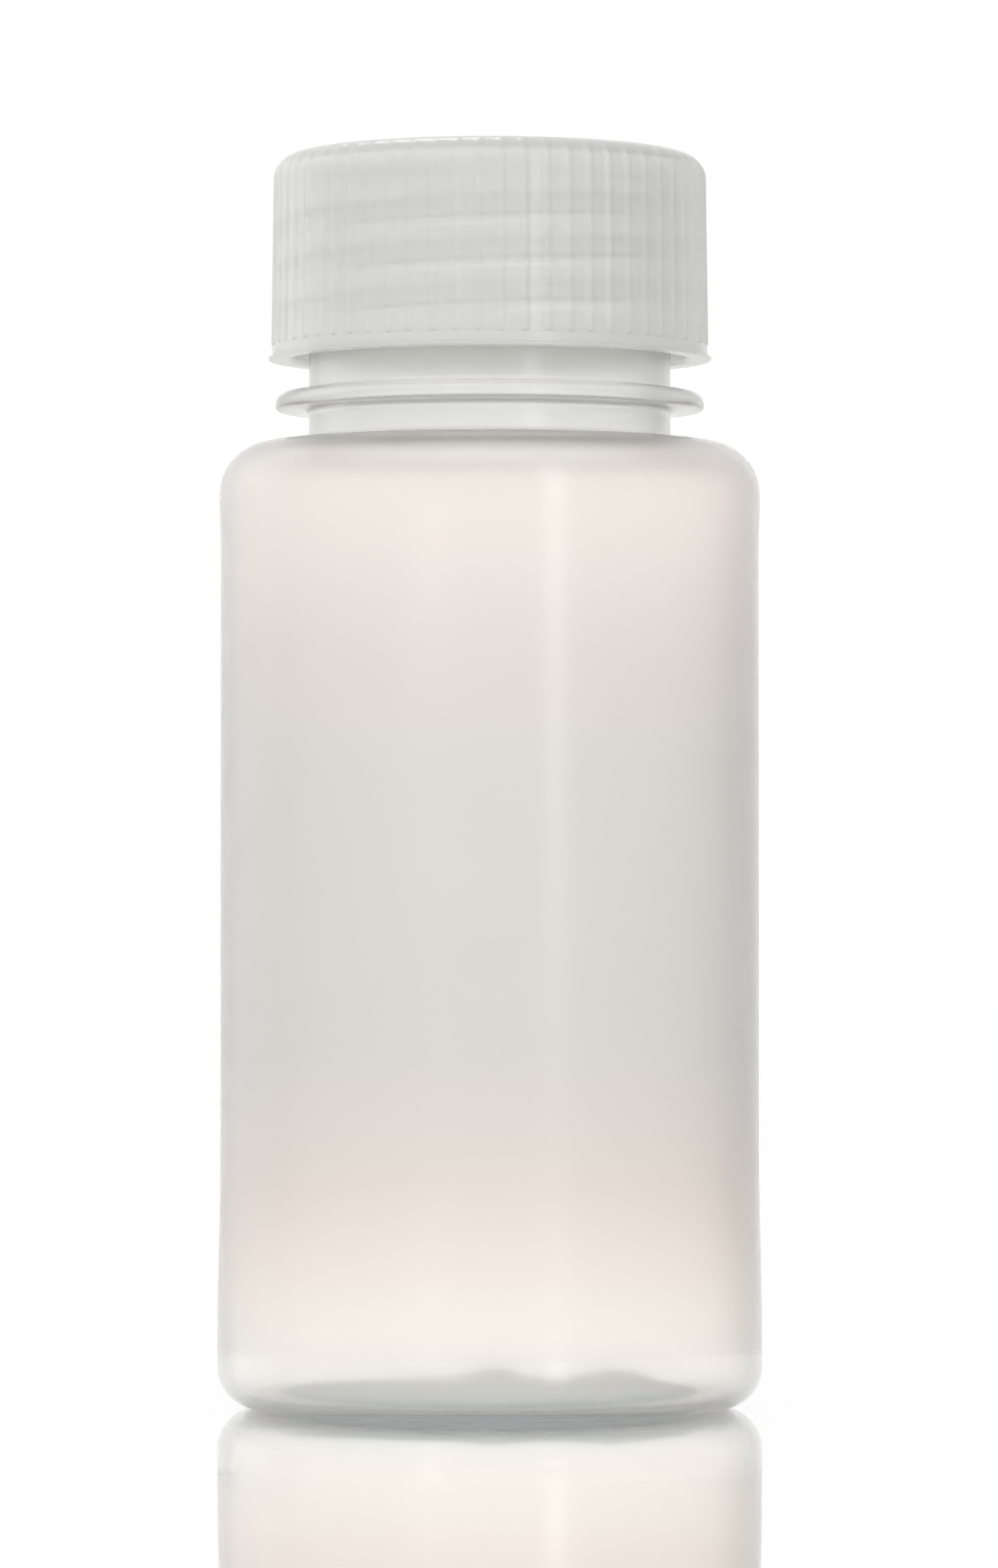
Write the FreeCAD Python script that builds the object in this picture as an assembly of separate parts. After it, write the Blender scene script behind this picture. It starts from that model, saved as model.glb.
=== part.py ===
"""Wide-mouth plastic reagent bottle with a ribbed screw cap and a sealing liner.

Millimetres, +Z up. The origin is the centre of the circle that the bottle stands on, and -Y is the front.
Three pieces come apart on a bench: the moulded bottle, the screw cap, and the flat liner inside the cap.
"""

import FreeCAD
import Part

import math
import os

# Body of the bottle
BODY_RADIUS = 36.6
BODY_WALL = 1.5
HEEL_BULGE = 0.4
HEEL_ROUND = 5.6
HEEL_BAND_TOP = 14.3
HEEL_BLEND_LENGTH = 15.7
SHOULDER_HEIGHT = 131.2
SHOULDER_BULGE = 0.15
SHOULDER_ROUND = 7.0
SHOULDER_BAND_DEPTH = 9.2
SHOULDER_BLEND_LENGTH = 4.0

# Base, pushed up inside the ring that it stands on
BASE_WALL = 1.5
BASE_PUSH_UP = 1.0
BASE_STEP_WIDTH = 2.6
BASE_STEP_ROUND = 2.6
STANDING_RING_WIDTH = 2.8

# Neck, with the support ring that the cap stops above
NECK_RADIUS = 24.6
NECK_WALL = 2.4
NECK_HEIGHT = 36.0
NECK_COVE = 1.2
NECK_INNER_ROUND = 2.7
RIM_ROUND = 0.5
RING_LIFT = 4.4
RING_OVERHANG = 4.55
RING_THICKNESS = 2.4
RING_TOP_ROUND = 1.7
RING_UNDER_ROUND = 0.5
RING_COVE = 0.8

# Right-hand thread, one ridge on the neck and one in the cap
THREAD_PITCH = 5.8
THREAD_DEPTH = 1.8
THREAD_FLANK_ANGLE = 20.0
THREAD_CREST_GAP = 0.5
THREAD_LOADED_GAP = 0.35
THREAD_BACK_GAP = 1.3
THREAD_RING_GAP = 8.3
THREAD_RIM_GAP = 0.4
THREAD_START_AZIMUTH = -91.0
THREAD_FADE_ANGLE = 30.0
THREAD_FADE_STEPS = 6
THREAD_FADE_NARROWING = 0.4
THREAD_ROOT_OVERLAP = 0.4
THREAD_END_SINK = 0.1
CAP_THREAD_EDGE_GAP = 2.4
CAP_THREAD_LINER_GAP = 1.6

# Screw cap
CAP_RING_GAP = 4.5
CAP_WALL = 2.6
CAP_TOP_WALL = 2.1
CAP_DRAFT = 0.4
CAP_TOP_ROUND = 3.4
CAP_MOUTH_CHAMFER = 0.5
BAND_HEIGHT = 1.8
BAND_PROUD = 0.15
LIP_PROUD = 0.65
LIP_THICKNESS = 0.4
GATE_RADIUS = 3.0
GATE_DEPTH = 0.4
RIB_COUNT = 60
RIB_HEIGHT = 0.3
RIB_CREST_WIDTH = 0.7
RIB_ROOT_WIDTH = 1.2

# Liner
LINER_THICKNESS = 1.2
LINER_EDGE_GAP = 0.4

# Points closer than this are one point
SAME_POINT = 1e-6

# Places that follow from the sizes above
heel_radius = BODY_RADIUS + HEEL_BULGE
shoulder_radius = BODY_RADIUS + SHOULDER_BULGE
standing_ring_inside = heel_radius - HEEL_ROUND - STANDING_RING_WIDTH
push_up_radius = standing_ring_inside - BASE_STEP_WIDTH
panel_bottom = HEEL_BAND_TOP + HEEL_BLEND_LENGTH
shoulder_band_bottom = SHOULDER_HEIGHT - SHOULDER_BAND_DEPTH
panel_top = shoulder_band_bottom - SHOULDER_BLEND_LENGTH
mouth_radius = NECK_RADIUS - NECK_WALL
rim_height = SHOULDER_HEIGHT + NECK_HEIGHT
ring_bottom = SHOULDER_HEIGHT + RING_LIFT
ring_top = ring_bottom + RING_THICKNESS
ring_radius = NECK_RADIUS + RING_OVERHANG

neck_crest_radius = NECK_RADIUS + THREAD_DEPTH
cap_bore_radius = neck_crest_radius + THREAD_CREST_GAP
cap_crest_radius = NECK_RADIUS + THREAD_CREST_GAP
thread_middle_radius = (neck_crest_radius + cap_crest_radius) / 2
thread_middle_width = (THREAD_PITCH - THREAD_LOADED_GAP - THREAD_BACK_GAP) / 2
thread_flank_slope = math.tan(math.radians(THREAD_FLANK_ANGLE))
neck_thread_bottom = ring_top + THREAD_RING_GAP

cap_bottom = ring_top + CAP_RING_GAP
liner_top = rim_height + LINER_THICKNESS
cap_top = liner_top + CAP_TOP_WALL
cap_root_radius = cap_bore_radius + CAP_WALL
band_top = cap_bottom + BAND_HEIGHT


def corner_tangents(corners):
    """Lengths that the round of each corner takes from its two sides, shortened where a side is too small."""
    count = len(corners)
    spots = [FreeCAD.Vector(radius, 0, height) for radius, height, _ in corners]
    lengths = []
    for index, (_, _, rounding) in enumerate(corners):
        back = spots[index - 1] - spots[index]
        ahead = spots[(index + 1) % count] - spots[index]
        lengths.append(rounding / math.tan(back.getAngle(ahead) / 2) if rounding else 0.0)
    shares = []
    for index in range(count):
        room_back = (spots[index - 1] - spots[index]).Length
        room_ahead = (spots[(index + 1) % count] - spots[index]).Length
        wanted_back = lengths[index - 1] + lengths[index]
        wanted_ahead = lengths[(index + 1) % count] + lengths[index]
        share = min(1.0, room_back / wanted_back if wanted_back else 1.0)
        shares.append(min(share, room_ahead / wanted_ahead if wanted_ahead else 1.0))
    return spots, [length * share for length, share in zip(lengths, shares)]


def revolved(corners):
    """Solid turned about Z from a closed outline of (radius, height, rounding) corners."""
    spots, tangents = corner_tangents(corners)
    count = len(corners)
    edges = []
    last = None
    first = None
    for index, tangent in enumerate(tangents):
        corner = spots[index]
        if tangent:
            back = (spots[index - 1] - corner).normalize()
            ahead = (spots[(index + 1) % count] - corner).normalize()
            half_angle = back.getAngle(ahead) / 2
            rounding = tangent * math.tan(half_angle)
            inward = (back + ahead).normalize()
            middle = corner + inward * (rounding / math.sin(half_angle) - rounding)
            start = corner + back * tangent
            end = corner + ahead * tangent
        else:
            start = end = corner
        if last is None:
            first = start
        elif (start - last).Length > SAME_POINT:
            edges.append(Part.LineSegment(last, start).toShape())
        if tangent:
            edges.append(Part.Arc(start, middle, end).toShape())
        last = end
    if (first - last).Length > SAME_POINT:
        edges.append(Part.LineSegment(last, first).toShape())
    face = Part.Face(Part.Wire(Part.__sortEdges__(edges)))
    return face.revolve(FreeCAD.Vector(0, 0, 0), FreeCAD.Vector(0, 0, 1), 360)


def thread_section(root_radius, root_half, crest_radius, crest_half, azimuth, height):
    """Closed four-sided section of a thread ridge, standing in the half-plane at an azimuth in degrees."""
    corners = [
        FreeCAD.Vector(root_radius, 0, -root_half),
        FreeCAD.Vector(crest_radius, 0, -crest_half),
        FreeCAD.Vector(crest_radius, 0, crest_half),
        FreeCAD.Vector(root_radius, 0, root_half),
    ]
    wire = Part.makePolygon(corners + corners[:1])
    wire.rotate(FreeCAD.Vector(0, 0, 0), FreeCAD.Vector(0, 0, 1), azimuth)
    wire.translate(FreeCAD.Vector(0, 0, height))
    return wire


def thread_ridge(wall_radius, crest_radius, start_azimuth, bottom, top):
    """Helical ridge on a wall, its centre line climbing from bottom to top and both ends fading into the wall."""
    outward = 1 if crest_radius > wall_radius else -1
    root_radius = wall_radius - outward * THREAD_ROOT_OVERLAP
    sunk_radius = wall_radius - outward * THREAD_END_SINK

    def half_width(radius):
        return thread_middle_width / 2 - outward * (radius - thread_middle_radius) * thread_flank_slope

    def section(fade, azimuth, height):
        radius = crest_radius + (sunk_radius - crest_radius) * fade
        narrowing = 1 - THREAD_FADE_NARROWING * fade
        return thread_section(
            root_radius,
            half_width(root_radius) * narrowing,
            radius,
            half_width(radius) * narrowing,
            azimuth,
            height,
        )

    fade_rise = THREAD_PITCH * THREAD_FADE_ANGLE / 360
    turned = 360 * (top - bottom) / THREAD_PITCH
    full_height = top - bottom - 2 * fade_rise
    helix = Part.Wire(Part.makeHelix(THREAD_PITCH, full_height, crest_radius))
    sweep = Part.BRepOffsetAPI.MakePipeShell(helix)
    sweep.setBiNormalMode(FreeCAD.Vector(0, 0, 1))
    sweep.add(section(0, 0, 0))
    sweep.build()
    sweep.makeSolid()
    ridge = sweep.shape()
    ridge.rotate(FreeCAD.Vector(0, 0, 0), FreeCAD.Vector(0, 0, 1), start_azimuth + THREAD_FADE_ANGLE)
    ridge.translate(FreeCAD.Vector(0, 0, bottom + fade_rise))

    steps = [step / THREAD_FADE_STEPS for step in range(THREAD_FADE_STEPS + 1)]
    run_in = [section(1 - s, start_azimuth + s * THREAD_FADE_ANGLE, bottom + s * fade_rise) for s in steps]
    end_azimuth = start_azimuth + turned
    run_out = [section(1 - s, end_azimuth - s * THREAD_FADE_ANGLE, top - s * fade_rise) for s in steps]
    ends = [Part.makeLoft(wires, True, True) for wires in (run_in, run_out)]
    return [ridge] + ends


def make_bottle():
    """Blow-moulded body, shoulder and neck in one wall, with the thread ridge on the neck."""
    step = BASE_STEP_ROUND
    shell = revolved([
        (0, BASE_PUSH_UP, 0),
        (push_up_radius, BASE_PUSH_UP, step),
        (standing_ring_inside, 0, step),
        (heel_radius, 0, HEEL_ROUND),
        (heel_radius, HEEL_BAND_TOP, 0),
        (BODY_RADIUS, panel_bottom, 0),
        (BODY_RADIUS, panel_top, 0),
        (shoulder_radius, shoulder_band_bottom, 0),
        (shoulder_radius, SHOULDER_HEIGHT, SHOULDER_ROUND),
        (NECK_RADIUS, SHOULDER_HEIGHT, NECK_COVE),
        (NECK_RADIUS, ring_bottom, RING_COVE),
        (ring_radius, ring_bottom, RING_UNDER_ROUND),
        (ring_radius, ring_top, RING_TOP_ROUND),
        (NECK_RADIUS, ring_top, RING_COVE),
        (NECK_RADIUS, rim_height, RIM_ROUND),
        (mouth_radius, rim_height, RIM_ROUND),
        (mouth_radius, SHOULDER_HEIGHT - BODY_WALL, NECK_INNER_ROUND),
        (shoulder_radius - BODY_WALL, SHOULDER_HEIGHT - BODY_WALL, SHOULDER_ROUND - BODY_WALL),
        (shoulder_radius - BODY_WALL, shoulder_band_bottom, 0),
        (BODY_RADIUS - BODY_WALL, panel_top, 0),
        (BODY_RADIUS - BODY_WALL, panel_bottom, 0),
        (heel_radius - BODY_WALL, HEEL_BAND_TOP, 0),
        (heel_radius - BODY_WALL, BASE_WALL, HEEL_ROUND - BODY_WALL),
        (standing_ring_inside, BASE_WALL, step),
        (push_up_radius, BASE_PUSH_UP + BASE_WALL, step),
        (0, BASE_PUSH_UP + BASE_WALL, 0),
    ])
    half_root = thread_middle_width / 2 + (thread_middle_radius - NECK_RADIUS) * thread_flank_slope
    neck_thread_top = rim_height - THREAD_RIM_GAP - half_root
    ridge = thread_ridge(
        NECK_RADIUS, neck_crest_radius, THREAD_START_AZIMUTH, neck_thread_bottom, neck_thread_top
    )
    return shell.fuse(ridge)


def make_ribs():
    """Ribs round the skirt of the cap, each fading out over the rounded top edge."""
    envelope = revolved([
        (0, band_top, 0),
        (cap_root_radius + RIB_HEIGHT, band_top, 0),
        (cap_root_radius + RIB_HEIGHT - CAP_DRAFT, cap_top, CAP_TOP_ROUND + RIB_HEIGHT),
        (0, cap_top, 0),
    ])
    inside = cap_bore_radius + CAP_WALL / 2
    outside = cap_root_radius + RIB_HEIGHT
    flare = (RIB_ROOT_WIDTH - RIB_CREST_WIDTH) / 2 / RIB_HEIGHT
    inside_half = RIB_CREST_WIDTH / 2 + flare * RIB_HEIGHT
    outside_half = RIB_CREST_WIDTH / 2
    outline = [
        FreeCAD.Vector(inside, -inside_half, band_top),
        FreeCAD.Vector(cap_root_radius - CAP_DRAFT, -inside_half, band_top),
        FreeCAD.Vector(outside, -outside_half, band_top),
        FreeCAD.Vector(outside, outside_half, band_top),
        FreeCAD.Vector(cap_root_radius - CAP_DRAFT, inside_half, band_top),
        FreeCAD.Vector(inside, inside_half, band_top),
    ]
    blank = Part.Face(Part.makePolygon(outline + outline[:1])).extrude(
        FreeCAD.Vector(0, 0, cap_top - band_top)
    )
    blanks = []
    for index in range(RIB_COUNT):
        turned = blank.copy()
        turned.rotate(FreeCAD.Vector(0, 0, 0), FreeCAD.Vector(0, 0, 1), 360 * index / RIB_COUNT)
        blanks.append(turned)
    return Part.makeCompound(blanks).common(envelope).Solids


def make_screw_cap():
    """Moulded cap: ribbed skirt, plain band and thin lip below, thread ridge inside."""
    skirt_draft = CAP_DRAFT * BAND_HEIGHT / (cap_top - cap_bottom)
    shell = revolved([
        (cap_bore_radius, liner_top, 0),
        (cap_bore_radius, cap_bottom + CAP_MOUTH_CHAMFER, 0),
        (cap_bore_radius + CAP_MOUTH_CHAMFER, cap_bottom, 0),
        (cap_root_radius + LIP_PROUD, cap_bottom, LIP_THICKNESS / 4),
        (cap_root_radius + LIP_PROUD, cap_bottom + LIP_THICKNESS, LIP_THICKNESS / 4),
        (cap_root_radius + BAND_PROUD, cap_bottom + LIP_THICKNESS, LIP_THICKNESS / 4),
        (cap_root_radius + BAND_PROUD, band_top, BAND_PROUD / 2),
        (cap_root_radius - skirt_draft, band_top, 0),
        (cap_root_radius - CAP_DRAFT, cap_top, CAP_TOP_ROUND),
        (GATE_RADIUS, cap_top, 0),
        (GATE_RADIUS, cap_top - GATE_DEPTH, GATE_DEPTH / 2),
        (0, cap_top - GATE_DEPTH, 0),
        (0, liner_top, 0),
    ])
    half_root = thread_middle_width / 2 + (cap_bore_radius - thread_middle_radius) * thread_flank_slope
    bottom = cap_bottom + CAP_THREAD_EDGE_GAP + half_root
    top = rim_height - CAP_THREAD_LINER_GAP - half_root
    below_neck_thread = thread_middle_width + THREAD_LOADED_GAP
    climb = bottom - (neck_thread_bottom - below_neck_thread)
    start_azimuth = THREAD_START_AZIMUTH + 360 * climb / THREAD_PITCH
    ridge = thread_ridge(cap_bore_radius, cap_crest_radius, start_azimuth, bottom, top)
    return shell.fuse(ridge + make_ribs())


def make_cap_liner():
    """Flat sealing disc, held between the rim of the neck and the inside of the cap."""
    liner_radius = cap_bore_radius - LINER_EDGE_GAP
    return Part.makeCylinder(liner_radius, LINER_THICKNESS, FreeCAD.Vector(0, 0, rim_height))


PIECES = {
    "bottle": make_bottle,
    "screw_cap": make_screw_cap,
    "cap_liner": make_cap_liner,
}

os.makedirs("parts", exist_ok=True)
for name, make in PIECES.items():
    shape = make()
    solids = shape.Solids
    if len(solids) != 1 or not shape.isValid():
        raise RuntimeError(f"{name}: {len(solids)} solids, valid {shape.isValid()}")
    solids[0].exportStep(f"parts/{name}.step")
    box = solids[0].BoundBox
    print(f"{name}: {solids[0].Volume / 1000:.2f} cm3, {box.XLength:.2f} x {box.YLength:.2f} x {box.ZLength:.2f} mm")
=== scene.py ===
import math

import bpy
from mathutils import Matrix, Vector


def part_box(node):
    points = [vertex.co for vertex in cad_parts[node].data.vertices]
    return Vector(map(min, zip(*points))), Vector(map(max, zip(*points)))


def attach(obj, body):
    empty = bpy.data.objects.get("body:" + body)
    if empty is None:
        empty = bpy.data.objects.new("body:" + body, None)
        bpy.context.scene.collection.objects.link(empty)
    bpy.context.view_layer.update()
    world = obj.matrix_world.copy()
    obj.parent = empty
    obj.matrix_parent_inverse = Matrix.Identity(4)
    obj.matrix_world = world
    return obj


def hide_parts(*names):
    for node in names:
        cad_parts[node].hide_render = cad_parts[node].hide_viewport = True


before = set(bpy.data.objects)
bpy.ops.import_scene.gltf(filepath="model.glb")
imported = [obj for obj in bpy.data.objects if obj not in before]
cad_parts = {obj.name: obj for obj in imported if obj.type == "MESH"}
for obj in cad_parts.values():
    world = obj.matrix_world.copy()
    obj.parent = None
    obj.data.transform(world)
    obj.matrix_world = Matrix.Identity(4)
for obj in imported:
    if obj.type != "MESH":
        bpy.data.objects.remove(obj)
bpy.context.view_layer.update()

MM = 0.001

# Bottle
# One wall of natural polypropylene, blow moulded round a moulded neck that carries the thread ridge. The heel
# and shoulder stand a little proud of the label panel, and the base is pushed up inside the ring below it.
BOTTLE_STEPS = 192
BODY_RADIUS = 36.6 * MM
BODY_WALL = 1.5 * MM
BASE_WALL = 1.5 * MM
BASE_EDGE = 28.6 * MM
BASE_ROUND = 2.6 * MM
BASE_RINGS = 14
BASE_RING_REACH = 22.4 * MM
PUSH_UP = 1.0 * MM
PUSH_UP_RADIUS = 26.0 * MM
HEEL_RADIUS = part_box("bottle")[1][0]
HEEL_ROUND = 5.6 * MM
HEEL_BAND_TOP = 14.3 * MM
HEEL_BLEND = 400 * MM
PANEL_BOTTOM = 30.0 * MM
PANEL_TOP = 118.0 * MM
SHOULDER_BAND_BOTTOM = 122.0 * MM
SHOULDER_BLEND = 90 * MM
SHOULDER_RADIUS = 36.75 * MM
SHOULDER_HEIGHT = 131.2 * MM
SHOULDER_ROUND = 7.0 * MM
NECK_RADIUS = 24.6 * MM
NECK_FILLET = 1.2 * MM
MOUTH_RADIUS = 22.2 * MM
RIM_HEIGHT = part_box("bottle")[1][2]
RIM_ROUND = 0.5 * MM
RING_RADIUS = 29.15 * MM
RING_BOTTOM = 135.6 * MM
RING_BOTTOM_ROUND = 0.5 * MM
RING_TOP = 138.0 * MM
RING_TOP_ROUND = 1.7 * MM
RING_FILLET = 0.8 * MM
THREAD_PITCH = 5.8 * MM
THREAD_DEPTH = 1.8 * MM
THREAD_ROOT_HALF = 1.6 * MM
THREAD_CREST_HALF = 0.8 * MM
THREAD_SUNK = 0.4 * MM
THREAD_STEPS = 96
THREAD_FADE = math.radians(30)
NECK_THREAD_START = math.radians(-91)
NECK_THREAD_BOTTOM = 146.3 * MM
NECK_THREAD_TOP = 165.34 * MM


def deselect():
    bpy.ops.object.select_all(action="DESELECT")


ARC_STEP = math.radians(9)


def round_corners(corners):
    """Points along an outline of (radius, height, rounding) corners, each rounding drawn as an arc."""
    points = []
    count = len(corners)
    for index, (radius, height, rounding) in enumerate(corners):
        spot = Vector((radius, height))
        if not rounding:
            points.append(spot)
            continue
        before = Vector(corners[index - 1][:2])
        after = Vector(corners[(index + 1) % count][:2])
        back = (before - spot).normalized()
        ahead = (after - spot).normalized()
        half_angle = back.angle(ahead) / 2
        inward = (back + ahead).normalized()
        centre = spot + inward * rounding / math.sin(half_angle)
        start = spot + back * rounding / math.tan(half_angle) - centre
        sweep = math.pi - 2 * half_angle
        if back.cross(ahead) > 0:
            sweep = -sweep
        arc_steps = max(3, math.ceil(abs(sweep) / ARC_STEP))
        for step in range(arc_steps + 1):
            turn = sweep * step / arc_steps
            points.append(centre + Vector((
                start.x * math.cos(turn) - start.y * math.sin(turn),
                start.x * math.sin(turn) + start.y * math.cos(turn),
            )))
    return points


SAME_SPOT = 0.001 * MM


def turn_outline(name, points, steps, closed=False):
    """Mesh turned about the axis: an outline drawn point by point, spun round, its seam and poles merged."""
    deselect()
    bpy.ops.mesh.primitive_plane_add(size=MM)
    piece = bpy.context.object
    piece.name = name
    bpy.ops.object.mode_set(mode="EDIT")
    bpy.ops.mesh.merge(type="CENTER")
    bpy.ops.transform.translate(value=(points[0].x, 0, points[0].y))
    for here, there in zip(points, points[1:]):
        step = (there.x - here.x, 0, there.y - here.y)
        bpy.ops.mesh.extrude_vertices_move(TRANSFORM_OT_translate={"value": step})
    if closed:
        bpy.ops.mesh.select_all(action="DESELECT")
        bpy.ops.object.mode_set(mode="OBJECT")
        piece.data.vertices[0].select = True
        piece.data.vertices[len(points) - 1].select = True
        bpy.ops.object.mode_set(mode="EDIT")
        bpy.ops.mesh.edge_face_add()
    bpy.ops.mesh.select_all(action="SELECT")
    bpy.ops.mesh.spin(steps=steps, angle=2 * math.pi, center=(0, 0, 0), axis=(0, 0, 1))
    bpy.ops.mesh.select_all(action="SELECT")
    bpy.ops.mesh.remove_doubles(threshold=SAME_SPOT)
    bpy.ops.mesh.dissolve_degenerate(threshold=SAME_SPOT)
    bpy.ops.mesh.normals_make_consistent(inside=False)
    bpy.ops.object.mode_set(mode="OBJECT")
    return piece


def thread_ridge(name, wall_radius, crest_radius, start, bottom, top):
    """Helical ridge whose root is sunk into a wall, with both ends fading into that wall."""
    sunk = math.copysign(THREAD_SUNK, crest_radius - wall_radius)
    deselect()
    bpy.ops.mesh.primitive_plane_add(size=MM)
    ridge = bpy.context.object
    ridge.name = name
    section = [
        (wall_radius - sunk, -THREAD_ROOT_HALF),
        (crest_radius, -THREAD_CREST_HALF),
        (wall_radius - sunk, THREAD_ROOT_HALF),
        (crest_radius, THREAD_CREST_HALF),
    ]
    for vertex, (radius, height) in zip(ridge.data.vertices, section):
        vertex.co = (radius * math.cos(start), radius * math.sin(start), bottom + height)
    bpy.ops.object.mode_set(mode="EDIT")
    bpy.ops.mesh.select_all(action="SELECT")
    bpy.ops.mesh.delete(type="ONLY_FACE")
    bpy.ops.object.mode_set(mode="OBJECT")
    turned = 2 * math.pi * (top - bottom) / THREAD_PITCH
    screw = ridge.modifiers.new("screw", "SCREW")
    screw.angle = turned
    screw.screw_offset = top - bottom
    screw.steps = math.ceil(THREAD_STEPS * turned / (2 * math.pi))
    screw.render_steps = screw.steps
    screw.use_merge_vertices = False
    bpy.ops.object.modifier_apply(modifier="screw")
    bpy.ops.object.mode_set(mode="EDIT")
    bpy.ops.mesh.select_all(action="SELECT")
    bpy.ops.mesh.remove_doubles(threshold=SAME_SPOT)
    bpy.ops.mesh.select_all(action="DESELECT")
    bpy.ops.mesh.select_non_manifold(extend=False)
    bpy.ops.mesh.edge_face_add()
    bpy.ops.mesh.select_all(action="SELECT")
    bpy.ops.mesh.normals_make_consistent(inside=False)
    bpy.ops.object.mode_set(mode="OBJECT")
    for vertex in ridge.data.vertices:
        radius = math.hypot(vertex.co.x, vertex.co.y)
        around = math.atan2(vertex.co.y, vertex.co.x) - start
        climbed = 2 * math.pi * (vertex.co.z - bottom) / THREAD_PITCH
        along = around + 2 * math.pi * round((climbed - around) / (2 * math.pi))
        keep = min(1.0, along / THREAD_FADE, (turned - along) / THREAD_FADE)
        low = wall_radius - sunk / 2
        if abs(radius - crest_radius) < abs(radius - wall_radius):
            faded = low + (crest_radius - low) * max(0.0, keep)
            vertex.co.x *= faded / radius
            vertex.co.y *= faded / radius
    return ridge


SOFT_ANGLE = math.radians(32)


def smooth(piece):
    """Soft shading that keeps the sharper edges."""
    deselect()
    piece.select_set(True)
    bpy.context.view_layer.objects.active = piece
    bpy.ops.object.shade_smooth_by_angle(angle=SOFT_ANGLE)


def fuse(piece, added):
    """Joins an overlapping closed mesh into a piece as one skin."""
    deselect()
    bpy.context.view_layer.objects.active = piece
    piece.select_set(True)
    union = piece.modifiers.new("union", "BOOLEAN")
    union.operation = "UNION"
    union.solver = "EXACT"
    union.object = added
    bpy.ops.object.modifier_apply(modifier="union")
    bpy.data.objects.remove(added)


inner_base = PUSH_UP + BASE_WALL
bottle_outline = round_corners([
    (0, PUSH_UP, 0),
    (PUSH_UP_RADIUS, PUSH_UP, BASE_ROUND),
    (BASE_EDGE, 0, BASE_ROUND),
    (HEEL_RADIUS, 0, HEEL_ROUND),
    (HEEL_RADIUS, HEEL_BAND_TOP, HEEL_BLEND),
    (BODY_RADIUS, PANEL_BOTTOM, HEEL_BLEND),
    (BODY_RADIUS, PANEL_TOP, SHOULDER_BLEND),
    (SHOULDER_RADIUS, SHOULDER_BAND_BOTTOM, SHOULDER_BLEND),
    (SHOULDER_RADIUS, SHOULDER_HEIGHT, SHOULDER_ROUND),
    (NECK_RADIUS, SHOULDER_HEIGHT, NECK_FILLET),
    (NECK_RADIUS, RING_BOTTOM, RING_FILLET),
    (RING_RADIUS, RING_BOTTOM, RING_BOTTOM_ROUND),
    (RING_RADIUS, RING_TOP, RING_TOP_ROUND),
    (NECK_RADIUS, RING_TOP, RING_FILLET),
    (NECK_RADIUS, RIM_HEIGHT, RIM_ROUND),
    (MOUTH_RADIUS, RIM_HEIGHT, RIM_ROUND),
    (MOUTH_RADIUS, SHOULDER_HEIGHT - BODY_WALL, NECK_FILLET + BODY_WALL),
    (SHOULDER_RADIUS - BODY_WALL, SHOULDER_HEIGHT - BODY_WALL, SHOULDER_ROUND - BODY_WALL),
    (SHOULDER_RADIUS - BODY_WALL, SHOULDER_BAND_BOTTOM, SHOULDER_BLEND),
    (BODY_RADIUS - BODY_WALL, PANEL_TOP, SHOULDER_BLEND),
    (BODY_RADIUS - BODY_WALL, PANEL_BOTTOM, HEEL_BLEND),
    (HEEL_RADIUS - BODY_WALL, HEEL_BAND_TOP, HEEL_BLEND),
    (HEEL_RADIUS - BODY_WALL, BASE_WALL, HEEL_ROUND - BODY_WALL),
    (BASE_EDGE, BASE_WALL, BASE_ROUND),
    (PUSH_UP_RADIUS, inner_base, BASE_ROUND),
    (0, inner_base, 0),
])
for ring in range(BASE_RINGS):
    ring_radius = BASE_RING_REACH * (1 - ring / BASE_RINGS)
    bottle_outline.insert(-1, Vector((ring_radius, inner_base)))
bottle = turn_outline("bottle_wall", bottle_outline, BOTTLE_STEPS)

# Soft pinch marks of the moulding on the inside of the base, each with its middle and its spread.
PINCH_HEIGHT = 1.7 * MM
PINCH_MARGIN = 0.1 * MM
PINCH_MARKS = [
    (Vector((0.5 * MM, 20 * MM)), 4.4 * MM),
    (Vector((17.0 * MM, 15 * MM)), 6.0 * MM),
]
for vertex in bottle.data.vertices:
    on_inner_base = PUSH_UP + PINCH_MARGIN < vertex.co.z < inner_base + PINCH_MARGIN
    if not on_inner_base or vertex.co.xy.length > BASE_EDGE:
        continue
    for mark, spread in PINCH_MARKS:
        apart = (vertex.co.xy - mark).length / spread
        vertex.co.z += PINCH_HEIGHT * math.exp(-apart ** 2)
neck_thread = thread_ridge(
    "neck_thread", NECK_RADIUS, NECK_RADIUS + THREAD_DEPTH, NECK_THREAD_START,
    NECK_THREAD_BOTTOM, NECK_THREAD_TOP,
)
fuse(bottle, neck_thread)
smooth(bottle)
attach(bottle, "bottle")
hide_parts("bottle")


# Haze in the plastic hides the dark contours of a clear wall, so the wall bends light less than solid plastic
# does, and its gloss comes from a coat.
HAZY_IOR = 1.2
COAT_GLOSS = 0.6
COAT_ROUGHNESS = 0.14
COAT_IOR = 1.5
CLOUD_SCALE = 60
CLOUD_DETAIL = 3
CLOUD_TINT = 0.02
CLOUD_HAZE = 0.04
GRAIN_SCALE = 700
GRAIN_DETAIL = 2
GRAIN_STRENGTH = 0.06
GRAIN_DEPTH = 0.05 * MM


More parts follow.
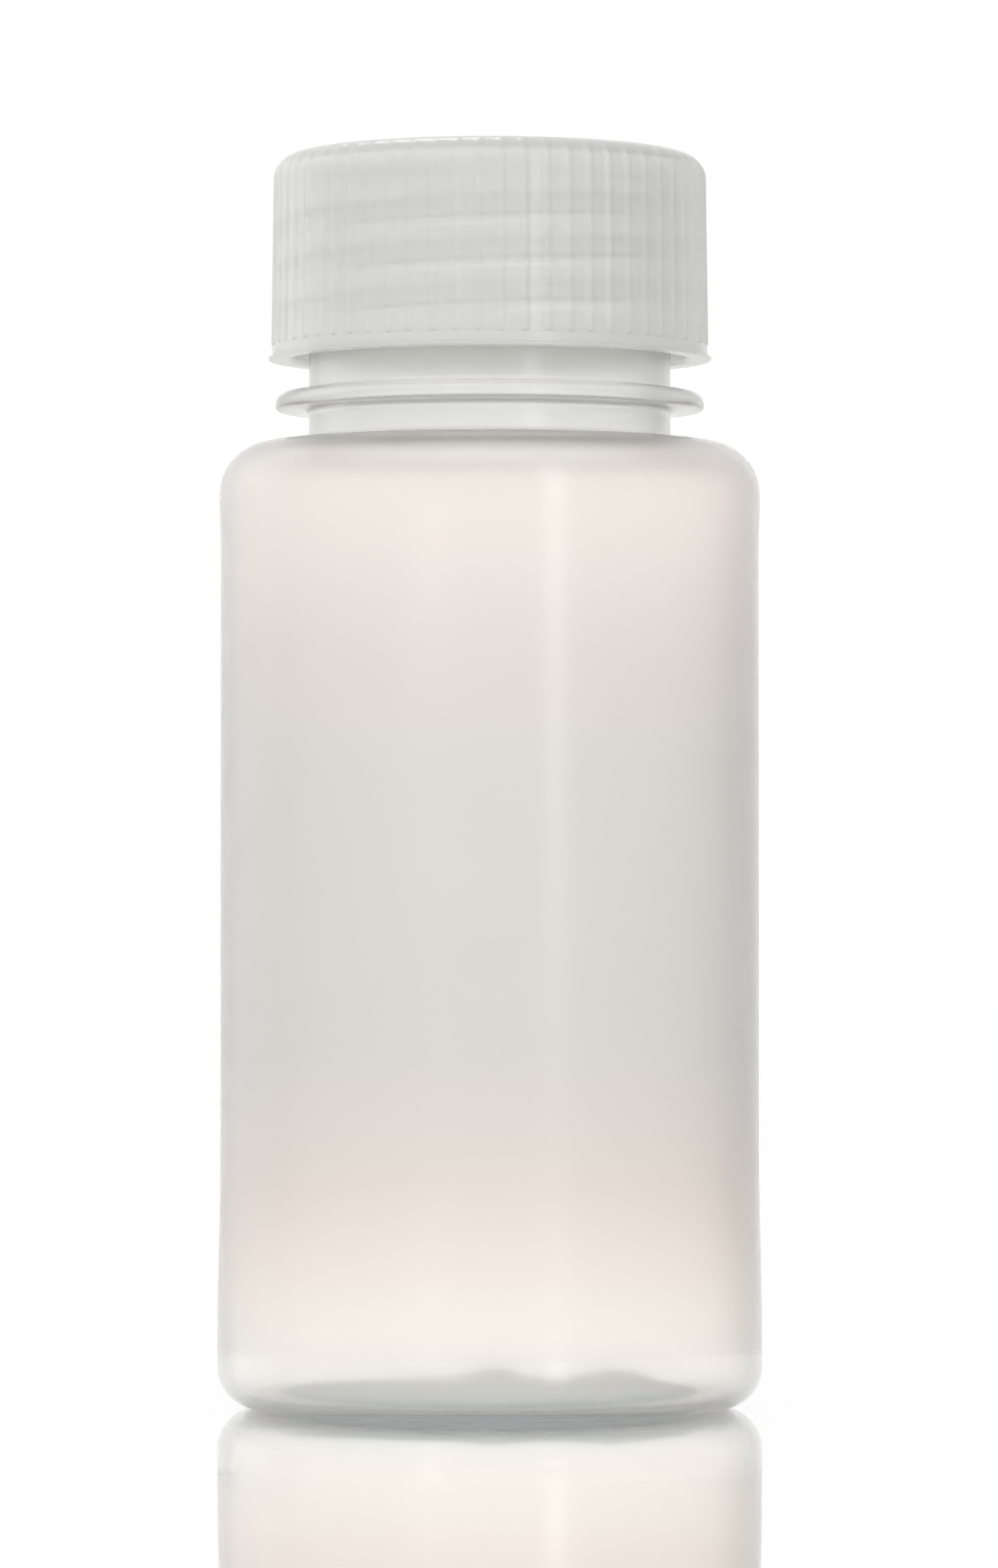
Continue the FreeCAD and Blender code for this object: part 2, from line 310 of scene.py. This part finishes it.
def moulded_plastic(piece, name, levels):
    """Natural polypropylene whose tint, clearness and polish change with height, cloudy and satin-grained;
    the tint can carry painted glow and painted shade.
    """
    material = bpy.data.materials.new(name)
    material.use_nodes = True
    nodes = material.node_tree.nodes
    links = material.node_tree.links
    plastic = nodes["Principled BSDF"]
    plastic.inputs["IOR"].default_value = HAZY_IOR
    plastic.inputs["Coat Weight"].default_value = COAT_GLOSS
    plastic.inputs["Coat Roughness"].default_value = COAT_ROUGHNESS
    plastic.inputs["Coat IOR"].default_value = COAT_IOR
    place = nodes.new("ShaderNodeTexCoord")
    split = nodes.new("ShaderNodeSeparateXYZ")
    links.new(place.outputs["Object"], split.inputs["Vector"])
    lowest = levels[0][0]
    highest = levels[-1][0]
    climb = nodes.new("ShaderNodeMapRange")
    climb.inputs["From Min"].default_value = lowest
    climb.inputs["From Max"].default_value = highest
    links.new(split.outputs["Z"], climb.inputs["Value"])
    # The tint ramp carries any painted glow or painted shade that the levels give.
    tint_and_painted_glow = nodes.new("ShaderNodeValToRGB")
    finish = nodes.new("ShaderNodeValToRGB")
    for ramp in (tint_and_painted_glow, finish):
        links.new(climb.outputs["Result"], ramp.inputs["Fac"])
        for level in levels[1:-1]:
            ramp.color_ramp.elements.new((level[0] - lowest) / (highest - lowest))
    for index, (_, colour, clearness, roughness) in enumerate(levels):
        tint_and_painted_glow.color_ramp.elements[index].color = (*colour, 1)
        finish.color_ramp.elements[index].color = (clearness, roughness, 0, 1)
    parts = nodes.new("ShaderNodeSeparateColor")
    links.new(finish.outputs["Color"], parts.inputs["Color"])
    links.new(parts.outputs["Red"], plastic.inputs["Transmission Weight"])
    cloud = nodes.new("ShaderNodeTexNoise")
    cloud.inputs["Scale"].default_value = CLOUD_SCALE
    cloud.inputs["Detail"].default_value = CLOUD_DETAIL
    links.new(place.outputs["Object"], cloud.inputs["Vector"])
    milk = nodes.new("ShaderNodeMix")
    milk.data_type = "RGBA"
    milk.blend_type = "MULTIPLY"
    milk.name = "milk"
    milk.inputs["Factor"].default_value = CLOUD_TINT
    links.new(tint_and_painted_glow.outputs["Color"], milk.inputs["A"])
    links.new(cloud.outputs["Fac"], milk.inputs["B"])
    links.new(milk.outputs["Result"], plastic.inputs["Base Color"])
    haze = nodes.new("ShaderNodeMath")
    haze.name = "haze"
    haze.operation = "MULTIPLY_ADD"
    haze.inputs[1].default_value = CLOUD_HAZE
    links.new(cloud.outputs["Fac"], haze.inputs[0])
    links.new(parts.outputs["Green"], haze.inputs[2])
    links.new(haze.outputs["Value"], plastic.inputs["Roughness"])
    grain = nodes.new("ShaderNodeTexNoise")
    grain.inputs["Scale"].default_value = GRAIN_SCALE
    grain.inputs["Detail"].default_value = GRAIN_DETAIL
    links.new(place.outputs["Object"], grain.inputs["Vector"])
    satin = nodes.new("ShaderNodeBump")
    satin.inputs["Strength"].default_value = GRAIN_STRENGTH
    satin.inputs["Distance"].default_value = GRAIN_DEPTH
    links.new(grain.outputs["Fac"], satin.inputs["Height"])
    links.new(satin.outputs["Normal"], plastic.inputs["Normal"])
    piece.data.materials.clear()
    piece.data.materials.append(material)
    return material


# Height, tint, clearness and roughness of the wall, from the ring it stands on up to the rim. The tint is
# partly painted light: it is warmer and lighter near the heel and under the shoulder as a painted glow, and
# greyer over the middle of the body as painted shade.
BOTTLE_LEVELS = [
    (0, (0.99, 1.0, 0.99), 0.9, 0.16),
    (2.4 * MM, (0.99, 0.995, 0.98), 0.94, 0.16),
    (4.2 * MM, (1.0, 0.985, 0.955), 0.96, 0.16),
    (7.4 * MM, (1.0, 0.98, 0.943), 0.98, 0.18),
    (8.4 * MM, (1.0, 0.98, 0.945), 0.98, 0.29),
    (14 * MM, (1.0, 0.965, 0.92), 0.98, 0.28),
    (21 * MM, (0.975, 0.928, 0.885), 0.97, 0.3),
    (31 * MM, (0.93, 0.89, 0.852), 0.96, 0.36),
    (47 * MM, (0.885, 0.868, 0.848), 0.95, 0.38),
    (88 * MM, (0.895, 0.88, 0.855), 0.95, 0.38),
    (104 * MM, (0.925, 0.892, 0.868), 0.96, 0.34),
    (116 * MM, (0.97, 0.932, 0.90), 0.97, 0.3),
    (127 * MM, (1.0, 0.965, 0.93), 0.98, 0.28),
    (SHOULDER_HEIGHT - 1.2 * MM, (1.0, 0.98, 0.95), 0.98, 0.28),
    (SHOULDER_HEIGHT - 0.4 * MM, (0.99, 0.985, 0.965), 0.8, 0.28),
    (SHOULDER_HEIGHT + 0.3 * MM, (0.99, 0.985, 0.965), 0.8, 0.28),
    (SHOULDER_HEIGHT + 1.2 * MM, (0.98, 0.985, 0.965), 0.92, 0.28),
    (RIM_HEIGHT, (0.98, 0.985, 0.965), 0.92, 0.28),
]
bottle_plastic = moulded_plastic(bottle, "milky_bottle_wall", BOTTLE_LEVELS)

# The pushed-up middle of the base cools slowly, which leaves it milky and matt up to the ring round it.
BASE_MILK = (0.95, 0.985, 0.995)
BASE_CLEARNESS = 0.2
BASE_ROUGHNESS = 0.7
BASE_MATT_END = BASE_EDGE - 1.5 * MM
BASE_GLOSS_START = BASE_EDGE + 0.5 * MM
nodes = bottle_plastic.node_tree.nodes
links = bottle_plastic.node_tree.links
plastic = nodes["Principled BSDF"]
reach = nodes.new("ShaderNodeVectorMath")
reach.operation = "LENGTH"
links.new(nodes["Texture Coordinate"].outputs["Object"], reach.inputs[0])
outward = nodes.new("ShaderNodeMapRange")
outward.inputs["From Min"].default_value = BASE_MATT_END
outward.inputs["From Max"].default_value = BASE_GLOSS_START
links.new(reach.outputs["Value"], outward.inputs["Value"])
thick_base = nodes.new("ShaderNodeMix")
thick_base.data_type = "RGBA"
thick_base.inputs["A"].default_value = (*BASE_MILK, 1)
links.new(outward.outputs["Result"], thick_base.inputs["Factor"])
links.new(nodes["milk"].outputs["Result"], thick_base.inputs["B"])
links.new(thick_base.outputs["Result"], plastic.inputs["Base Color"])
for socket, in_base, in_wall in (
    ("Transmission Weight", BASE_CLEARNESS, nodes["Separate Color"].outputs["Red"]),
    ("Roughness", BASE_ROUGHNESS, nodes["haze"].outputs["Value"]),
):
    base_finish = nodes.new("ShaderNodeMix")
    base_finish.inputs["A"].default_value = in_base
    links.new(outward.outputs["Result"], base_finish.inputs["Factor"])
    links.new(in_wall, base_finish.inputs["B"])
    links.new(base_finish.outputs["Result"], plastic.inputs[socket])
gloss = nodes.new("ShaderNodeMath")
gloss.operation = "MULTIPLY"
gloss.inputs[1].default_value = COAT_GLOSS
links.new(outward.outputs["Result"], gloss.inputs[0])
links.new(gloss.outputs["Value"], plastic.inputs["Coat Weight"])

# Liner
# Flat disc punched from white foamed polyethylene sheet. It lies loose in the top of the cap, which presses
# it onto the rim of the bottle as it is screwed down.
LINER_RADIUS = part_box("cap_liner")[1][0]
LINER_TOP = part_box("cap_liner")[1][2]
LINER_EDGE = 0.25 * MM
CELL_SCALE = 1800
CELL_MIDDLE = (0.93, 0.93, 0.92)
CELL_EDGE = (0.86, 0.86, 0.85)
CELL_DEPTH = 0.1 * MM
CELL_STRENGTH = 0.3
FOAM_SMOOTHEST = 0.55
FOAM_ROUGHEST = 0.8
liner_outline = round_corners([
    (0, RIM_HEIGHT, 0),
    (LINER_RADIUS, RIM_HEIGHT, LINER_EDGE),
    (LINER_RADIUS, LINER_TOP, LINER_EDGE),
    (0, LINER_TOP, 0),
])
liner = turn_outline("sealing_liner", liner_outline, BOTTLE_STEPS)
smooth(liner)
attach(liner, "liner")
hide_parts("cap_liner")
foam = bpy.data.materials.new("closed_cell_foam")
foam.use_nodes = True
nodes = foam.node_tree.nodes
links = foam.node_tree.links
skin = nodes["Principled BSDF"]
place = nodes.new("ShaderNodeTexCoord")
cells = nodes.new("ShaderNodeTexVoronoi")
cells.inputs["Scale"].default_value = CELL_SCALE
links.new(place.outputs["Object"], cells.inputs["Vector"])
shade = nodes.new("ShaderNodeValToRGB")
shade.color_ramp.elements[0].color = (*CELL_MIDDLE, 1)
shade.color_ramp.elements[1].color = (*CELL_EDGE, 1)
links.new(cells.outputs["Distance"], shade.inputs["Fac"])
links.new(shade.outputs["Color"], skin.inputs["Base Color"])
matt = nodes.new("ShaderNodeMapRange")
matt.inputs["To Min"].default_value = FOAM_SMOOTHEST
matt.inputs["To Max"].default_value = FOAM_ROUGHEST
links.new(cells.outputs["Distance"], matt.inputs["Value"])
links.new(matt.outputs["Result"], skin.inputs["Roughness"])
dimples = nodes.new("ShaderNodeBump")
dimples.inputs["Strength"].default_value = CELL_STRENGTH
dimples.inputs["Distance"].default_value = CELL_DEPTH
links.new(cells.outputs["Distance"], dimples.inputs["Height"])
links.new(dimples.outputs["Normal"], skin.inputs["Normal"])
liner.data.materials.clear()
liner.data.materials.append(foam)

# Screw cap
# Injection-moulded cap of the same plastic, thicker than the bottle, held on by the thread ridge inside it.
# Fine upright ribs fade out over the rounded top edge, with a plain band and a thin lip below them.
RIB_COUNT = 60
RIB_HEIGHT = 0.3 * MM
RIB_SHARE = 0.44
RIB_STEPS = 10
RIB_FADE = 3.2 * MM
CAP_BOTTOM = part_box("screw_cap")[0][2]
CAP_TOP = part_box("screw_cap")[1][2]
CAP_BORE = 26.9 * MM
BORE_CHAMFER = 0.5 * MM
CEILING_ROUND = 0.2 * MM
CAP_ROOT = 29.5 * MM
CAP_DRAFT = 0.4 * MM
CAP_TOP_ROUND = 3.4 * MM
LIP_RADIUS = CAP_ROOT + 0.65 * MM
LIP_TOP = CAP_BOTTOM + 0.4 * MM
LIP_ROUND = 0.15 * MM
SMALL_ROUND = 0.1 * MM
BAND_RADIUS = CAP_ROOT + 0.15 * MM
BAND_TOP = CAP_BOTTOM + 1.8 * MM
BAND_ROUND = 0.06 * MM
RIB_FOOT = [(0.03 * MM, 0, 0.02 * MM), (0.04 * MM, 0.3 * MM, 0), (0.05 * MM, 0.9 * MM, 0)]
RIB_BOTTOM = BAND_TOP + 0.2 * MM
SKIRT_MIDDLE = CAP_BORE + 1 * MM
GATE_RADIUS = 3.0 * MM
GATE_FLOOR = CAP_TOP - 0.4 * MM
GATE_ROUND = 0.15 * MM
CAP_THREAD_CREST = NECK_RADIUS + 0.5 * MM
CAP_THREAD_BOTTOM = 146.356 * MM
CAP_THREAD_TOP = 164.144 * MM
CAP_THREAD_LEVEL = 143.875 * MM
cap_outline = round_corners([
    (CAP_BORE, CAP_BOTTOM + BORE_CHAMFER, SMALL_ROUND),
    (CAP_BORE + BORE_CHAMFER, CAP_BOTTOM, SMALL_ROUND),
    (LIP_RADIUS, CAP_BOTTOM, LIP_ROUND),
    (LIP_RADIUS, LIP_TOP, LIP_ROUND),
    (BAND_RADIUS, LIP_TOP, SMALL_ROUND),
    (BAND_RADIUS, BAND_TOP, BAND_ROUND),
    *[(CAP_ROOT - inset, BAND_TOP + rise, rounding) for inset, rise, rounding in RIB_FOOT],
    (CAP_ROOT - CAP_DRAFT, CAP_TOP, CAP_TOP_ROUND),
    (GATE_RADIUS, CAP_TOP, SMALL_ROUND),
    (GATE_RADIUS, GATE_FLOOR, GATE_ROUND),
    (0, GATE_FLOOR, 0),
    (0, LINER_TOP, 0),
    (CAP_BORE, LINER_TOP, CEILING_ROUND),
])
cap = turn_outline("ribbed_cap", cap_outline, RIB_COUNT * RIB_STEPS, closed=True)
rib_end = CAP_ROOT - CAP_DRAFT - CAP_TOP_ROUND
for vertex in cap.data.vertices:
    radius = math.hypot(vertex.co.x, vertex.co.y)
    on_skirt = radius > SKIRT_MIDDLE and vertex.co.z > RIB_BOTTOM
    on_top = radius > rib_end and vertex.co.z > LINER_TOP
    if not (on_skirt or on_top):
        continue
    across = (math.degrees(math.atan2(vertex.co.y, vertex.co.x)) * RIB_COUNT / 360) % 1 - 0.5
    crown = max(0.0, math.cos(math.pi * min(abs(across) / RIB_SHARE, 0.5)))
    strength = max(0.0, min(1.0, (radius - rib_end) / RIB_FADE))
    stretch = 1 + RIB_HEIGHT * crown * strength / radius
    vertex.co.x *= stretch
    vertex.co.y *= stretch
turns_up = (CAP_THREAD_BOTTOM - CAP_THREAD_LEVEL) / THREAD_PITCH
cap_thread = thread_ridge(
    "cap_thread", CAP_BORE, CAP_THREAD_CREST, NECK_THREAD_START + 2 * math.pi * turns_up,
    CAP_THREAD_BOTTOM, CAP_THREAD_TOP,
)
fuse(cap, cap_thread)
smooth(cap)
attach(cap, "cap")
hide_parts("screw_cap")

# Height, tint, clearness and roughness of the cap, and how much painted shade darkens it along the thread
# ridge inside, where the threads block the light seen through the wall.
CAP_LEVELS = [
    (CAP_BOTTOM, (0.978, 0.983, 0.963), 0.6, 0.29),
    (CAP_TOP - 5 * MM, (0.972, 0.977, 0.957), 0.58, 0.29),
    (CAP_TOP, (0.975, 0.98, 0.96), 0.35, 0.29),
]
THREAD_SHADE_DEPTH = 0.035
cap_plastic = moulded_plastic(cap, "milky_cap_wall", CAP_LEVELS)
nodes = cap_plastic.node_tree.nodes
links = cap_plastic.node_tree.links
# Painted shade: the colour darkens in a helical band that follows the thread ridge inside the cap.
around = nodes.new("ShaderNodeMath")
around.operation = "ARCTAN2"
rise = nodes.new("ShaderNodeMath")
rise.operation = "MULTIPLY_ADD"
rise.inputs[1].default_value = 2 * math.pi / THREAD_PITCH
rise.inputs[2].default_value = NECK_THREAD_START - 2 * math.pi * CAP_THREAD_LEVEL / THREAD_PITCH
split = nodes["Separate XYZ"]
links.new(split.outputs["Y"], around.inputs[0])
links.new(split.outputs["X"], around.inputs[1])
links.new(split.outputs["Z"], rise.inputs[0])
turn = nodes.new("ShaderNodeMath")
turn.operation = "SUBTRACT"
links.new(rise.outputs["Value"], turn.inputs[0])
links.new(around.outputs["Value"], turn.inputs[1])
ridge = nodes.new("ShaderNodeMath")
ridge.operation = "COSINE"
links.new(turn.outputs["Value"], ridge.inputs[0])
painted_thread_shade = nodes.new("ShaderNodeMapRange")
painted_thread_shade.inputs["From Min"].default_value = -1
painted_thread_shade.inputs["From Max"].default_value = 1
painted_thread_shade.inputs["To Min"].default_value = 1
painted_thread_shade.inputs["To Max"].default_value = 1 - THREAD_SHADE_DEPTH
links.new(ridge.outputs["Value"], painted_thread_shade.inputs["Value"])
thread_shade_mix = nodes.new("ShaderNodeMix")
thread_shade_mix.data_type = "RGBA"
thread_shade_mix.blend_type = "MULTIPLY"
thread_shade_mix.inputs["Factor"].default_value = 1
links.new(nodes["milk"].outputs["Result"], thread_shade_mix.inputs["A"])
links.new(painted_thread_shade.outputs["Result"], thread_shade_mix.inputs["B"])
links.new(thread_shade_mix.outputs["Result"], nodes["Principled BSDF"].inputs["Base Color"])

# Floor
# Plain white sheet with a polished face, as in a product picture. Seen low it mirrors the bottle, and seen
# from above it is matt white.
FLOOR_SIZE = 12
SHEET_WHITE = (0.93, 0.93, 0.93)
SHEET_ROUGHNESS = 0.5
POLISH_ROUGHNESS = 0.02
STEEP_VIEW = 0.4
LOW_VIEW = 0.92
STEEP_MIRROR = 0.1
LOW_MIRROR = 0.95
deselect()
bpy.ops.mesh.primitive_plane_add(size=FLOOR_SIZE)
floor = bpy.context.object
floor.name = "floor"
sheet = bpy.data.materials.new("polished_white_sheet")
sheet.use_nodes = True
nodes = sheet.node_tree.nodes
links = sheet.node_tree.links
face = nodes["Principled BSDF"]
face.inputs["Base Color"].default_value = (*SHEET_WHITE, 1)
face.inputs["Roughness"].default_value = SHEET_ROUGHNESS
mirror = nodes.new("ShaderNodeBsdfGlossy")
mirror.inputs["Color"].default_value = (1, 1, 1, 1)
mirror.inputs["Roughness"].default_value = POLISH_ROUGHNESS
grazing = nodes.new("ShaderNodeLayerWeight")
grazing.inputs["Blend"].default_value = 0.5
share = nodes.new("ShaderNodeMapRange")
share.interpolation_type = "SMOOTHSTEP"
share.inputs["From Min"].default_value = STEEP_VIEW
share.inputs["From Max"].default_value = LOW_VIEW
share.inputs["To Min"].default_value = STEEP_MIRROR
share.inputs["To Max"].default_value = LOW_MIRROR
links.new(grazing.outputs["Facing"], share.inputs["Value"])
blend = nodes.new("ShaderNodeMixShader")
links.new(share.outputs["Result"], blend.inputs["Fac"])
links.new(face.outputs["BSDF"], blend.inputs[1])
links.new(mirror.outputs["BSDF"], blend.inputs[2])
links.new(blend.outputs["Shader"], nodes["Material Output"].inputs["Surface"])
floor.data.materials.append(sheet)

# Light
# White surroundings at a plain level, dimmer on the right. A tall strip front right makes the upright gleam
# on the body, with a wide box behind left, one overhead, and a broad fill in front that leaves no highlight.
ROOM_LEFT = 1.0
ROOM_RIGHT = 0.65
DIM_START = 0.15
DIM_END = 0.85
ROOM_LIGHT = 0.9
ROOM_SEEN = 1.0
world = bpy.data.worlds.new("white_room")
bpy.context.scene.world = world
world.use_nodes = True
nodes = world.node_tree.nodes
links = world.node_tree.links
room = nodes["Background"]
room.inputs["Color"].default_value = (1, 1, 1, 1)
toward = nodes.new("ShaderNodeTexCoord")
split = nodes.new("ShaderNodeSeparateXYZ")
links.new(toward.outputs["Generated"], split.inputs["Vector"])
dim = nodes.new("ShaderNodeMapRange")
dim.interpolation_type = "SMOOTHSTEP"
dim.inputs["From Min"].default_value = DIM_START
dim.inputs["From Max"].default_value = DIM_END
dim.inputs["To Min"].default_value = ROOM_LEFT
dim.inputs["To Max"].default_value = ROOM_RIGHT
links.new(split.outputs["X"], dim.inputs["Value"])
seen = nodes.new("ShaderNodeLightPath")
reflected = nodes.new("ShaderNodeMath")
reflected.operation = "MAXIMUM"
links.new(seen.outputs["Is Glossy Ray"], reflected.inputs[0])
links.new(seen.outputs["Is Transmission Ray"], reflected.inputs[1])
shown = nodes.new("ShaderNodeMath")
shown.operation = "MAXIMUM"
links.new(seen.outputs["Is Camera Ray"], shown.inputs[0])
links.new(reflected.outputs["Value"], shown.inputs[1])
level = nodes.new("ShaderNodeMapRange")
level.inputs["To Min"].default_value = ROOM_LIGHT
level.inputs["To Max"].default_value = ROOM_SEEN
links.new(shown.outputs["Value"], level.inputs["Value"])
lit = nodes.new("ShaderNodeMath")
lit.operation = "MULTIPLY"
links.new(dim.outputs["Result"], lit.inputs[0])
links.new(level.outputs["Result"], lit.inputs[1])
links.new(lit.outputs["Value"], room.inputs["Strength"])


def soft_box(name, place, width, height, watts):
    """Rectangular lamp that faces the middle of the bottle."""
    deselect()
    aim = Vector((0, 0, SHOULDER_HEIGHT / 2)) - Vector(place)
    bpy.ops.object.light_add(type="AREA", location=place, rotation=aim.to_track_quat("-Z", "Y").to_euler())
    box = bpy.context.object
    box.name = name
    box.data.shape = "RECTANGLE"
    box.data.size = width
    box.data.size_y = height
    box.data.energy = watts
    box.visible_camera = False
    return box


soft_box("strip_box", (0.55, -1.05, 0.5), 0.22, 0.95, 1.1)
soft_box("side_box", (-1.0, 0.6, 0.5), 0.8, 1.2, 1.2)
soft_box("top_box", (-0.2, 0.62, 1.2), 0.4, 0.4, 1.4)
front_fill = soft_box("front_box", (-0.2, -1.5, 0.34), 2.4, 0.6, 5.0)
front_fill.visible_glossy = False
front_fill.visible_transmission = False

# Light passes many clear walls before it leaves, so it is followed for longer than usual.
CLEAR_BOUNCES = 128
MILKY_BOUNCES = 64
cycles = bpy.context.scene.cycles
cycles.max_bounces = CLEAR_BOUNCES
cycles.diffuse_bounces = MILKY_BOUNCES
cycles.glossy_bounces = CLEAR_BOUNCES
cycles.transmission_bounces = CLEAR_BOUNCES

# Camera
# Level with the lower body of the bottle, far back with a long lens, as the photograph was taken. Its place
# and lens are given by where the axis and the horizon fall in the picture.
FOCAL_PIXELS = 9890
FRAME_HEIGHT = 2048
FRAME_WIDTH = 1303
AXIS_PIXEL = 639.5
HORIZON_PIXEL = 1204
CAMERA_DISTANCE = 1.031
CAMERA_HEIGHT = 0.066
deselect()
pitch = math.atan((HORIZON_PIXEL - FRAME_HEIGHT / 2) / FOCAL_PIXELS)
yaw = math.atan((AXIS_PIXEL - FRAME_WIDTH / 2) / FOCAL_PIXELS)
bpy.ops.object.camera_add(
    location=(0, -CAMERA_DISTANCE, CAMERA_HEIGHT), rotation=(math.pi / 2 + pitch, 0, yaw)
)
camera = bpy.context.object
camera.data.sensor_fit = "VERTICAL"
camera.data.angle = 2 * math.atan(FRAME_HEIGHT / 2 / FOCAL_PIXELS)
bpy.context.scene.camera = camera
bpy.context.scene.view_settings.view_transform = "Standard"
